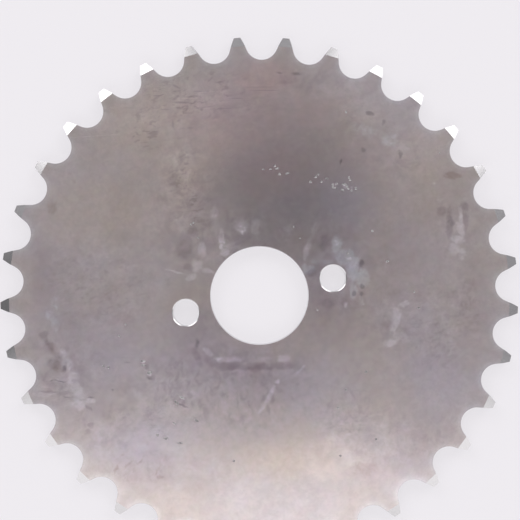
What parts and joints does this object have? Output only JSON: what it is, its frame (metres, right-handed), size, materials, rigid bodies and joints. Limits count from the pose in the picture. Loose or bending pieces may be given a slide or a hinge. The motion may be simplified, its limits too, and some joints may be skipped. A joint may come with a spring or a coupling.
{
  "type": "chain sprocket",
  "caption": "Flat plate chain sprocket with a bevelled, toothed rim, a plain round central bore and screw holes on either side of the bore.",
  "frame": {"origin": "centre of the bore on the plate's mid plane, where the chain's centre line runs", "axes": "+Z along the bore axis out of the upper face; +X through the centre of a screw hole and of a tooth space"},
  "size_m": [0.1373, 0.1374, 0.0044],
  "materials": {
    "bare_steel": "bright rolled and tumbled steel, semi-gloss, with smudges, fine scratches and a few small nicks"
  },
  "bodies": {
    "root": {"sprocket_plate": "bare_steel"}
  },
  "joints": []
}
